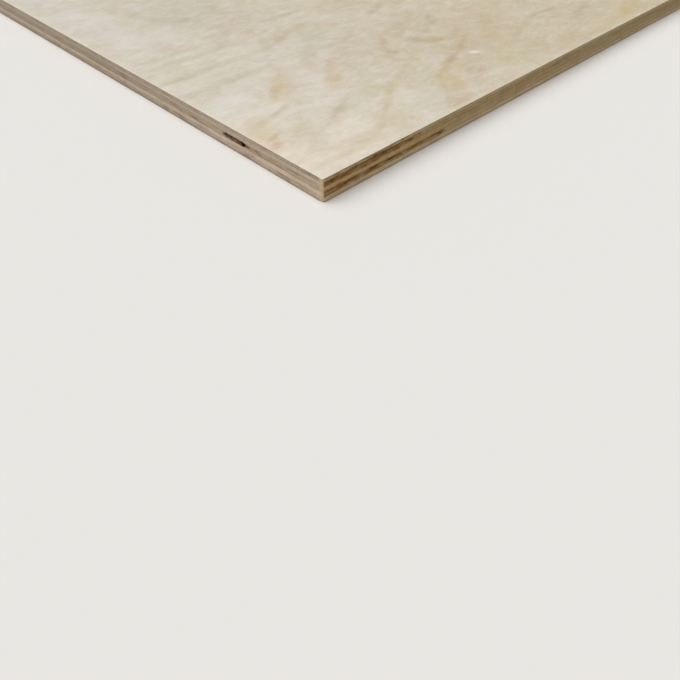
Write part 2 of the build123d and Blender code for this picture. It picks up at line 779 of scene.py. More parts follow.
    def _stained(self, wood: WoodPattern, place: Socket, stain: Stain) -> Socket:
        """Where one stain lies: its mounds, eaten into by the grain, whose noise their number picks.

        Args:
            wood: The wood's pattern.
            place: Socket with the place.
            stain: The stain.

        Returns:
            Socket with its share.
        """
        wide = self._mounds(wood, place, stain.mounds, 0.0, stain.rim)
        turn = self.stain_turn + len(stain.mounds)
        eaten = wood.swells(place, self.stain_swell, turn, detail=4.0, low=0.36, high=0.6,
                            to=(1.0 - stain.ragged, 1.0))
        return wood.calculate("MULTIPLY", wide, eaten, clamp=True)

    def _field(self, wood: WoodPattern, place: Socket) -> Socket:
        """The wood under all the figure: painted light, cooler by the left edge and warmer further in, with
        random warm and cool patches, and a painted pool of light at the near corner.

        Args:
            wood: The wood's pattern.
            place: Socket with the place in millimetres.

        Returns:
            Socket with the colour.
        """
        along = add_node(wood.tree, "ShaderNodeSeparateXYZ", {"Vector": place}, out="X")
        # Painted light: cooler towards the left edge, warmer further in, with random patches on top.
        left = wood.stretch(along, self.corner[0], self.corner[0] + self.cool_light_reach, smooth=True)
        patch = wood.swells(place, (50.0, 30.0, 40.0), 30, to=(-0.22, 0.22))
        warmth = wood.calculate("ADD", left, patch, clamp=True)
        # A painted pool of light round the near corner.
        light_pool = Mound(0.0, 0.0, self.light_pool_reach, self.light_pool_reach, 1.0)
        near = self._mounds(wood, place, (light_pool,), 0.0, self.light_pool_slope)
        return wood.paint(linear(self.cool_tone_and_light), [(self.warm_tone_and_light, 1.0, warmth), (self.painted_light_cream, 0.75, near)])


@dataclass(frozen=True)
class SawnBirch:
    """The sawn edge of one birch veneer.

    Where the saw crossed the fibres it left end grain, which drinks in light and looks darker, with
    pores, rays from joint to joint and the slanting checks that peeling opened. Where it ran with
    them it left paler long grain with hairline streaks. Raw sawn wood: IOR about 1.5, roughness
    0.7 to 0.8. Its fibres are drawn ten times as coarse as real ones, so that they show.
    """

    name: str
    grain: Grain
    long_grain: str
    end_grain: str
    seed: float
    # Tone of the pores, which also paints the dark rim and the painted contact shadow along the outline.
    pore_rim_and_contact_shade: str = "#6A5132"
    streak: str = "#8E7550"
    # A painted glint along the saw marks.
    saw_glint_highlight: str = "#F0E2CB"
    blotched: str = "#C8B08A"
    dust: str = "#BBA88C"
    toasted: str = "#CEAA78"
    scorched: str = "#876230"
    charred: str = "#38200A"
    rust: str = "#94602A"
    greyed: str = "#8A7F70"
    glue: str = "#6F5638"
    # Tone of the painted highlight on the upright corners.
    worn: str = "#C9B290"
    bark: str = "#7A5E41"
    # Near-black painted shade in the knot's hole.
    hole_shade_tone: str = "#20140A"
    streaks: float = 0.34
    roughness: tuple[float, float] = (0.68, 0.82)
    gloss: float = 0.12
    fibre_depth: float = 0.06
    surface_values: tuple[str, ...] = (
        "end_grain", "toast", "scorch", "greyed", "glue", "worn", "dark", "rim")

    def material(self) -> bpy.types.Material:
        """Build the material.

        Returns:
            The finished material.
        """
        made = new_material(self.name)
        wood = WoodPattern(made.node_tree, self.seed)
        place = wood.place()
        value = {name: add_node(wood.tree, "ShaderNodeAttribute", out="Fac", attribute_name=name)
                 for name in self.surface_values}
        reach = (9.0, 0.26) if self.grain is Grain.ALONG_X else (0.26, 9.0)
        fibre = wood.swells(place, (*reach, 0.2), 0, low=0.28, high=0.72)
        checks = wood.swells(self._slanted(wood, place), (0.5, 0.5, 5.0), 4, detail=2.0, low=0.56, high=0.7)
        # From here on, each coat is a tone, its strength and where it lies.
        burns = self._burns(wood, place, value["scorch"])
        # Painted shade deep in the knot's hole.
        hole_shade = wood.stretch(value["dark"], 0.5, 0.85)
        along, across = self._grains(wood, place, fibre, checks)
        colour = wood.paint(along, [
            (across, 1.0, value["end_grain"]),
            (self.toasted, 0.55, value["toast"]),
            (self.greyed, 1.0, value["greyed"]),
            *burns,
            (self.glue, 0.5, value["glue"]),
            # A thin dark line under the upper arris, and painted contact shadow along the underside.
            (self.pore_rim_and_contact_shade, 0.55, value["rim"]),
            # A painted highlight on the upright corners.
            (self.worn, 0.85, value["worn"]),
            (self.bark, 1.9, value["dark"]),
            (self.hole_shade_tone, 1.0, hole_shade),
        ])
        rough = wood.stretch(fibre, to=self.roughness)
        relief = wood.calculate("SUBTRACT", fibre, checks)
        wood.finish(colour, rough, relief, self.fibre_depth, self.gloss)
        return made

    def _grains(self, wood: WoodPattern, place: Socket, fibre: Socket,
                checks: Socket) -> tuple[Socket, Socket]:
        """The colours of sound wood on an edge.

        Args:
            wood: The wood's pattern.
            place: Socket with the place in millimetres.
            fibre: Socket with the fibres.

        Returns:
            Sockets with the colour along the fibres and with the one across them.
        """
        rays = wood.swells(place, (0.36, 0.36, 2.2), 3, low=0.4, high=0.72)
        # Saw marks on the long grain, which carry a painted glint.
        saw = wood.swells(place, (1.3, 1.3, 30.0), 5, detail=2.0, low=0.45, high=0.75)
        drift = wood.swells(place, (13.0, 13.0, 1.2), 6, low=0.42, high=0.68)
        shade = wood.swells(place, (7.0, 7.0, 0.9), 7, low=0.5, high=0.7)
        blotch = wood.swells(place, (4.0, 4.0, 0.7), 8, low=0.45, high=0.7)
        along = wood.paint(linear(self.long_grain), [
            (self.streak, 0.3, fibre), (self.dust, 0.5, drift), (self.streak, 0.3, blotch),
            (self.pore_rim_and_contact_shade, 0.22, shade), (self.saw_glint_highlight, 0.12, saw)])
        across = wood.paint(linear(self.end_grain), [
            (self.pore_rim_and_contact_shade, 0.34, fibre), (self.pore_rim_and_contact_shade, 0.3, rays), (self.pore_rim_and_contact_shade, 0.34, checks),
            (self.dust, 0.4, drift), (self.blotched, 0.34, blotch), (self.pore_rim_and_contact_shade, self.streaks, shade)])
        return along, across

    def _burns(self, wood: WoodPattern, place: Socket, scorch: Socket) -> list[tuple]:
        """The coats of scorched wood: brown all over, charred in streaks, and rusty in others.

        Args:
            wood: The wood's pattern.
            place: Socket with the place in millimetres.
            scorch: Socket with how far each place is scorched.

        Returns:
            Three coats, the widest first.
        """
        gaps = wood.swells(place, (3.0, 3.0, 0.7), 11, low=0.38, high=0.62, to=(0.0, 0.55))
        burn = wood.stretch(wood.calculate("SUBTRACT", scorch, gaps), 0.0, 0.7)
        rusty = wood.swells(place, (4.0, 4.0, 0.8), 12, low=0.5, high=0.64)
        black = wood.swells(place, (3.6, 3.6, 0.5), 13, low=0.48, high=0.62)
        char, rust = (wood.calculate("MULTIPLY", burn, streaks) for streaks in (black, rusty))
        return [(self.scorched, 1.0, burn), (self.charred, 0.75, char), (self.rust, 0.3, rust)]

    def _slanted(self, wood: WoodPattern, place: Socket) -> Socket:
        """Lean places over with height, so that what would stand upright on the edge slants.

        Args:
            wood: The wood's pattern.
            place: Socket with the place in millimetres.

        Returns:
            Socket with the leant place.
        """
        height = add_node(wood.tree, "ShaderNodeSeparateXYZ", {"Vector": place}, out="Z")
        lean = add_node(wood.tree, "ShaderNodeCombineXYZ", {"X": height, "Y": height})
        return add_node(wood.tree, "ShaderNodeVectorMath", {0: place, 1: lean}, operation="ADD")


@dataclass(frozen=True)
class SawBurn:
    """What a blunt saw did to one veneer's front edge beside the left corner.

    It scorched the veneer itself, or the heat soaked in from the joint below or above it, and the
    wood between was only toasted. Ends and fades run along the edge from the corner.
    """

    scorch: float = 0.0
    scorch_fall: float = 0.3
    scorch_end: float = 30.0
    scorch_fade: float = 8.0
    soaks: tuple[float, float] = (0.0, 0.0)
    soaking: float = 0.5
    toast: float = 0.0
    toast_end: float = 36.0
    toast_fade: float = 20.0

    def scorched(self, outline: TrimmedOutline, rise: np.ndarray) -> np.ndarray:
        """How far the saw scorched each point.

        Args:
            outline: The outline.
            rise: Heights in the veneer, from -1 at its lower joint to 1 at its upper one.

        Returns:
            A share for each point.
        """
        left = np.clip((self.scorch_end - outline.from_corner[:, 0]) / self.scorch_fade, 0, 1)
        own = self.scorch * (1 - self.scorch_fall * ((1 - rise) / 2) ** 3)
        soaked = [share * np.exp(-((1 + way * rise) / self.soaking) ** 2)
                  for share, way in zip(self.soaks, (1, -1))]
        return np.where(outline.burnt, left * np.maximum.reduce([own, *soaked]), 0.0)

    def toasted(self, outline: TrimmedOutline) -> np.ndarray:
        """How far the same saw only browned the wood.

        Args:
            outline: The outline.

        Returns:
            A share for each point of the outline.
        """
        left = np.clip((self.toast_end - outline.from_corner[:, 0]) / self.toast_fade, 0, 1)
        return np.where(outline.burnt, self.toast * left, 0.0)


@dataclass(frozen=True)
class EdgeWearLightAndShade:
    """What time and hands did to one veneer's edge, and the light and shade painted on it.

    The wood has greyed away from the corner that is handled, the upright corners wear a painted highlight,
    a dark line runs under the upper arris and painted contact shadow along the underside, and the arris
    is broken and nicked.
    """

    greying: float = 0.35
    left_start: float = 20.0
    left_run: float = 70.0
    front_start: float = 40.0
    front_run: float = 100.0
    front_share: float = 0.4
    arris_radius: float = 0.15
    arris_waver: float = 0.35
    waver_length: float = 3.1
    nick: float = 0.16
    nick_length: float = 0.9
    nick_from: float = 0.82
    nick_span: float = 0.18
    bruise: float = 0.1
    corner_reach: float = 0.9
    highlight_from: float = 0.3
    highlight_span: float = 0.25
    dark_rim_above: float = 0.3
    contact_shade_below: float = 0.4
    end_grain_shade_reach: float = 0.6
    waver_seed: int = 5
    waver_row: int = 9
    nick_seed: int = 6
    nick_row: int = 5

    def arris(self, outline: TrimmedOutline, shows: Side | None) -> np.ndarray:
        """Radius of the broken outer outline, which handling has widened at the corners.

        Args:
            outline: The outline.
            shows: The side of the sheet that the veneer is on.

        Returns:
            A radius for each point of the outline.
        """
        under = shows is Side.UNDER
        waver = RandomWaves(self.waver_seed).at(outline.travel / self.waver_length, self.waver_row + under)
        bite = RandomWaves(self.nick_seed).at(outline.travel / self.nick_length, self.nick_row + under)
        nicks = self.nick * np.clip(bite - self.nick_from, 0, 1) / self.nick_span
        bruises = self.bruise * np.exp(-(outline.to_corner / self.corner_reach) ** 2)
        return self.arris_radius * (1 + self.arris_waver * waver) + nicks + bruises

    def greyed(self, outline: TrimmedOutline) -> np.ndarray:
        """How far the left and front edges have greyed away from the corner that is handled.

        Args:
            outline: The outline.

        Returns:
            A share for each point of the outline.
        """
        from_left, from_front = outline.from_corner.T
        left = outline.on_left * np.clip((from_front - self.left_start) / self.left_run, 0, 1)
        front = outline.on_front * np.clip((from_left - self.front_start) / self.front_run, 0, 1)
        return self.greying * (left + self.front_share * front)

    def arris_highlight(self, outline: TrimmedOutline) -> np.ndarray:
        """A painted highlight on the upright corners, on the part that faces left or right.

        Args:
            outline: The outline.

        Returns:
            A share for each point of the outline.
        """
        facing = np.abs(outline.normals[:, 0])
        return (np.clip((facing - self.highlight_from) / self.highlight_span, 0, 1)
                * np.clip(1 - outline.to_corner / self.corner_reach, 0, 1))

    def dark_rim_and_contact_shade(self, from_outside: np.ndarray, end_share: np.ndarray, shows: Side | None) -> np.ndarray:
        """How dark the outermost fibres are along the sheet's own outline: a thin line under the upper
        arris, and painted contact shadow along the underside.

        Args:
            from_outside: Height of each point from the sheet's broad side.
            end_share: Share of end grain at each point, where the painted contact shadow reaches further up.
            shows: The side of the sheet that the veneer is on.

        Returns:
            A share for each point.
        """
        if shows is None:
            return np.zeros_like(from_outside)
        reach = self.dark_rim_above if shows is Side.UPPER else self.contact_shade_below + self.end_grain_shade_reach * end_share
        return np.clip(1 - from_outside / reach, 0, 1)


@dataclass(frozen=True)
class SawnRelief:
    """The fine relief of a sawn edge: saw marks, torn end grain, streaks and sunken glue lines."""

    saw_depth: float = 0.007
    saw_pitch: float = 1.9
    saw_wander: float = 2.0
    wander_length: float = 11.0
    torn_depth: float = 0.024
    torn_swell: tuple[float, float] = (1.1, 0.45)
    streak_depth: float = 0.009
    streak_swell: tuple[float, float] = (9.0, 0.2)
    groove_depth: float = 0.022
    groove_reach: float = 0.08
    glue_reach: float = 0.07
    out_of_reach: float = 9.0
    wander_seed: int = 91
    torn_seed: int = 30
    streak_seed: int = 40

    def depth(self, along: np.ndarray, height: np.ndarray, to_joint: np.ndarray, end_share: np.ndarray,
              number: int) -> np.ndarray:
        """Depth of the relief behind the sawn plane.

        Args:
            along: Distance round the outline.
            height: Height of each point.
            to_joint: Distance of each point from the nearer joint.
            end_share: Share of end grain at each point.
            number: The veneer's place in the lay-up.

        Returns:
            Depths, none below zero.
        """
        wander = self.saw_wander * RandomWaves(self.wander_seed).at(along / self.wander_length)
        saw = self.saw_depth * (1 + np.sin(2 * math.pi * along / self.saw_pitch + wander))
        kinds = (self.torn_seed, self.torn_swell), (self.streak_seed, self.streak_swell)
        torn, streak = (RandomWaves(seed + number).at(along / length, height / rise + HEIGHT_ROW)
                        for seed, (length, rise) in kinds)
        groove = self.groove_depth * np.exp(-(to_joint / self.groove_reach) ** 2)
        return (saw + end_share * self.torn_depth * (1 + torn)
                + (1 - end_share) * self.streak_depth * (1 + streak) + groove)

    def glue(self, to_under: np.ndarray, to_upper: np.ndarray, shows: Side | None) -> np.ndarray:
        """How much of the glue line shows. A broad side of the sheet has none.

        Args:
            to_under: Distance of each point from the lower joint.
            to_upper: Distance of each point from the upper joint.
            shows: The side of the sheet that the veneer is on.

        Returns:
            A share for each point.
        """
        nearer = np.minimum(to_under + self.out_of_reach * (shows is Side.UNDER),
                            to_upper + self.out_of_reach * (shows is Side.UPPER))
        return np.exp(-(nearer / self.glue_reach) ** 2)


@dataclass(frozen=True)
class SandedWaves:
    """The slight waves that sanding leaves in a thin face, faded out towards the edge."""

    broad_depth: float = 0.02
    broad_swell: tuple[float, float] = (70.0, 18.0)
    fine_depth: float = 0.008
    fine_swell: tuple[float, float] = (40.0, 6.5)
    fade: float = 6.0
    middle_cell: int = 500
    middle_row: int = 30
    broad_seed: int = 61
    fine_seed: int = 62

    def dip(self, x: np.ndarray, y: np.ndarray, half: np.ndarray) -> np.ndarray:
        """Depth of the waves.

        Args:
            x: Places along the grain.
            y: Places across it.
            half: Where the waves end, along and across.

        Returns:
            Depths below the flat face.
        """
        fade = (np.clip((half[0] - np.abs(x)) / self.fade, 0, 1)
                * np.clip((half[1] - np.abs(y)) / self.fade, 0, 1))
        kinds = (self.broad_seed, self.broad_swell), (self.fine_seed, self.fine_swell)
        broad, fine = (RandomWaves(seed).at(x / along + self.middle_cell, y / across + self.middle_row)
                       for seed, (along, across) in kinds)
        return fade * (self.broad_depth * (1 + broad) + self.fine_depth * (1 + fine))


@dataclass(frozen=True)
class BakeLayout:
    """Where one veneer's surfaces lie on its bake map, as shares of the map.

    The edge lies in strips one above the other, and each broad side in a box of its own, given by
    its lower left corner and its size. The lead side is the one that shows, or else the upper one.
    """

    strips_a_side: int
    strip_height: float
    gap: float
    lead_box: tuple[tuple[float, float], tuple[float, float]]
    other_box: tuple[tuple[float, float], tuple[float, float]]
    margin: float = 0.01
    run: float = 0.98

    def edge(self, here: np.ndarray, there: np.ndarray, low: float, high: float) -> np.ndarray:
        """Map places of one row of faces on the edge.

        Args:
            here: Turn of each face's first corners.
            there: Turn of its other corners.
            low: Share of the strip's height at the row's lower side.
            high: The same at its upper side.

        Returns:
            Two numbers for each of four corners of each face.
        """
        strip = np.clip(np.floor((here + there) / 2 * self.strips_a_side), 0, 4 * self.strips_a_side - 1)
        along = np.column_stack([here, there, there, here]) * self.strips_a_side - strip[:, None]
        start = self.gap + strip[:, None] * (self.strip_height + self.gap)
        across = start + self.strip_height * np.array([low, low, high, high])
        return np.dstack([self.margin + self.run * along, across])

    def broad(self, share: np.ndarray, lead: bool) -> np.ndarray:
        """Map places of points on a broad side.

        Args:
            share: The points' shares of the sheet's length and width.
            lead: Whether the side is the lead side.

        Returns:
            Map places of the same shape.
        """
        start, size = self.lead_box if lead else self.other_box
        return np.array(start) + share * np.array(size)


OUTER_LAYOUT = BakeLayout(1, 0.02, 0.005, ((0.005, 0.105), (0.89, 0.89)), ((0.905, 0.105), (0.09, 0.89)))
INNER_LAYOUT = BakeLayout(2, 0.054, 0.006, ((0.01, 0.51), (0.48, 0.48)), ((0.51, 0.51), (0.48, 0.48)))


@dataclass
class Veneer:
    """One peeled veneer, trimmed flush with the rest of the sheet."""

    node: str
    slot: str
    grain: Grain
    edge: SawnBirch
    shows: Side | None = None
    broad: RotaryCutBirch | None = None
    burn: SawBurn = SawBurn()
    wear_light_and_shade: EdgeWearLightAndShade = EdgeWearLightAndShade()
    relief: SawnRelief = SawnRelief()
    waves: SandedWaves = SandedWaves()
    holds_knot: bool = False
    edge_rows: int = 10
    arris_rows: int = 4
    peeled_rows: int = 2
    seen_pitch: float = 2.0
    seen_inset: float = 2.2
    hidden_pitch: float = 12.0
    hidden_inset: float = 9.0

    def build(self, outline: TrimmedOutline, joints: GlueJoints, number: int) -> bpy.types.Object:
        """Make the veneer's mesh and dress it.

        Args:
            outline: The outline that it is sawn to.
            joints: The heights of the joints above and below it.
            number: Its place in the lay-up, from the underside up.

        Returns:
            The finished piece.
        """
        low, high = (v.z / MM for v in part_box(self.node))
        mesh = VeneerMesh()
        rows = self._edge(mesh, outline, joints.height(low, number), joints.height(high, number + 1), number)
        self._broad_side(mesh, outline, Side.UPPER, rows[-1], high)
        self._broad_side(mesh, outline, Side.UNDER, rows[0], low)
        made = mesh.make(self.node + "_birch")
        made.data.materials.append(self.edge.material())
        if self.broad:
            made.data.materials.append(self.broad.material())
        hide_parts(self.node)
        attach(made, "root")
        return made

    def _rows(self, outline: TrimmedOutline, under: np.ndarray,
              upper: np.ndarray) -> tuple[np.ndarray, np.ndarray]:
        """Lay out the rows of the edge from the underside up, with the arris where the veneer shows.

        Args:
            outline: The outline.
            under: Height of the lower joint round the outline.
            upper: Height of the upper joint round the outline.

        Returns:
            The height of each point of each row, and how far the arris turns it in.
        """
        radius = self.wear_light_and_shade.arris(outline, self.shows)
        bottom = under + radius * (self.shows is Side.UNDER)
        top = upper - radius * (self.shows is Side.UPPER)
        height = bottom + np.linspace(0, 1, self.edge_rows)[:, None] * (top - bottom)
        inset = np.zeros_like(height)
        angle = np.linspace(0, math.pi / 2, self.arris_rows + 1)[1:, None]
        bend, turned_in = radius * np.sin(angle), radius * (1 - np.cos(angle))
        if self.shows is Side.UPPER:
            height, inset = np.vstack([height, top + bend]), np.vstack([inset, turned_in])
        if self.shows is Side.UNDER:
            height, inset = np.vstack([(bottom - bend)[::-1], height]), np.vstack([turned_in[::-1], inset])
        return height, inset

    def _edge(self, mesh: VeneerMesh, outline: TrimmedOutline, under: np.ndarray, upper: np.ndarray,
              number: int) -> np.ndarray:
        """Make the sawn edge, in rows from the underside up.

        Args:
            mesh: Gets the points and faces.
            outline: The outline.
            under: Height of the lower joint round the outline.
            upper: Height of the upper joint round the outline.
            number: The veneer's place in the lay-up.

        Returns:
            The point numbers, one row for each row of the edge.
        """
        height, inset = self._rows(outline, under, upper)
        end_share = np.broadcast_to(outline.normals[:, self.grain.value] ** 2, height.shape)
        rise = (height - under) / (upper - under) * 2 - 1
        to_under, to_upper = np.abs(height - under), np.abs(height - upper)
        to_joint = np.minimum(to_under, to_upper)
        depth = inset + self.relief.depth(outline.travel, height, to_joint, end_share, number)
        dark = np.zeros_like(height)
        if self.holds_knot:
            from_corner = outline.from_corner[:, 1]
            depth = depth + outline.on_left * outline.knot.recess(from_corner, rise)
            dark = outline.on_left * outline.knot.darkness(from_corner, rise)
        inward = depth[..., None] * outline.normals
        points = np.dstack([outline.places - inward, height]).reshape(-1, 3)
        values = {
            "end_grain": end_share,
            "glue": self.relief.glue(to_under, to_upper, self.shows),
            "scorch": self.burn.scorched(outline, rise),
            "dark": dark,
            "toast": self.burn.toasted(outline),
            "greyed": self.wear_light_and_shade.greyed(outline),
            # A painted highlight on the upright corners.
            "worn": self.wear_light_and_shade.arris_highlight(outline),
            # A thin dark line under the upper arris, and painted contact shadow along the underside.
            "rim": self.wear_light_and_shade.dark_rim_and_contact_shade(to_upper if self.shows is Side.UPPER else to_under, end_share, self.shows),
            # The arris rows in the peeled material get a painted highlight.
            "arris_highlight": np.ones_like(height),
        }
        spread = {name: np.broadcast_to(value, height.shape).ravel() for name, value in values.items()}
        ids = mesh.add_points(points, **spread).reshape(height.shape)
        self._edge_faces(mesh, outline, ids)
        return ids

    def _layout(self) -> BakeLayout:
        """Choose how the veneer's surfaces lie on its bake map."""
        return OUTER_LAYOUT if self.shows else INNER_LAYOUT

    def _edge_faces(self, mesh: VeneerMesh, outline: TrimmedOutline, ids: np.ndarray) -> None:
        """Join the rows of the edge, each side laid as strips of the bake map.

        Args:
            mesh: Gets the faces.
            outline: The outline.
            ids: The point numbers, one row for each row of the edge.
        """
        here, there = outline.turns, np.append(outline.turns[1:], len(Edge))
        beyond = np.roll(ids, -1, axis=1)
        share = np.linspace(0, 1, len(ids))
        last = len(ids) - 1
        peeled = {Side.UPPER: range(last - self.peeled_rows, last), Side.UNDER: range(self.peeled_rows)}
        for k in range(last):
            corners = np.column_stack([ids[k], beyond[k], beyond[k + 1], ids[k + 1]])
            places = self._layout().edge(here, there, share[k], share[k + 1])
            mesh.add_faces(corners, places, Cut.PEELED if k in peeled.get(self.shows, ()) else Cut.SAWN)

    def _broad_side(self, mesh: VeneerMesh, outline: TrimmedOutline, side: Side, row: np.ndarray,
                    level: float) -> None:
        """Close one broad side with a grid inside and a band of triangles out to the edge.

        Args:
            mesh: Gets the points and faces.
            outline: The outline.
            side: Which broad side.
            row: Point numbers of the edge's last row on that side.
            level: Height of the side.
        """
        seen = side is self.shows
        inset, pitch = (self.seen_inset, self.seen_pitch) if seen else (self.hidden_inset, self.hidden_pitch)
        half = np.array([outline.length, outline.width]) / 2 - inset
        count = np.round(2 * half / pitch).astype(int)
        x, y = np.meshgrid(*(np.linspace(-h, h, c + 1) for h, c in zip(half, count)), indexing="ij")
        dip = self.waves.dip(x, y, half) if seen else np.zeros_like(x)
        points = np.column_stack([x.ravel(), y.ravel(), (level - side.value * dip).ravel()])
        sound = dict.fromkeys((*self.edge.surface_values, "arris_highlight"), 0)
        ids = mesh.add_points(points, **sound).reshape(x.shape)
        quads = np.stack([ids[:-1, :-1], ids[1:, :-1], ids[1:, 1:], ids[:-1, 1:]], -1).reshape(-1, 4)
        border = np.concatenate([ids[::-1, -1], ids[0, -2::-1], ids[1:, 0], ids[-1, 1:]])
        turns = np.concatenate([[0.0]] + [
            edge.value + np.linspace(0, 1, count[edge.value % 2] + 1)[1:] for edge in Edge])
        band = self._band(row, outline.turns, border, turns)
        share = np.concatenate(mesh.points)[:, :2] / (outline.length, outline.width) + 0.5
        lead = side is (self.shows or Side.UPPER)
        for faces in (quads, band):
            faces = faces if side is Side.UPPER else faces[:, ::-1]
            mesh.add_faces(faces, self._layout().broad(share[faces], lead), Cut.PEELED if seen else Cut.SAWN)

    def _band(self, outer: np.ndarray, outer_turns: np.ndarray, inner: np.ndarray,
              inner_turns: np.ndarray) -> np.ndarray:
        """Triangles between the edge's row and the grid's border, both walked anticlockwise.

        Args:
            outer: Point numbers of the row.
            outer_turns: Their places round the outline.
            inner: Point numbers of the border, which ends where it starts.
            inner_turns: Their places round the outline.

        Returns:
            One row of three point numbers for each triangle.
        """
        outer, outer_turns = np.append(outer, outer[0]), np.append(outer_turns, len(Edge))
        last_outer, last_inner = len(outer) - 1, len(inner) - 1
        found = []
        i = j = 0
        while i < last_outer or j < last_inner:
            if i < last_outer and (j == last_inner or outer_turns[i + 1] <= inner_turns[j + 1]):
                found.append((outer[i], outer[i + 1], inner[j]))
                i += 1
            else:
                found.append((outer[i], inner[j + 1], inner[j]))
                j += 1
        return np.array(found)


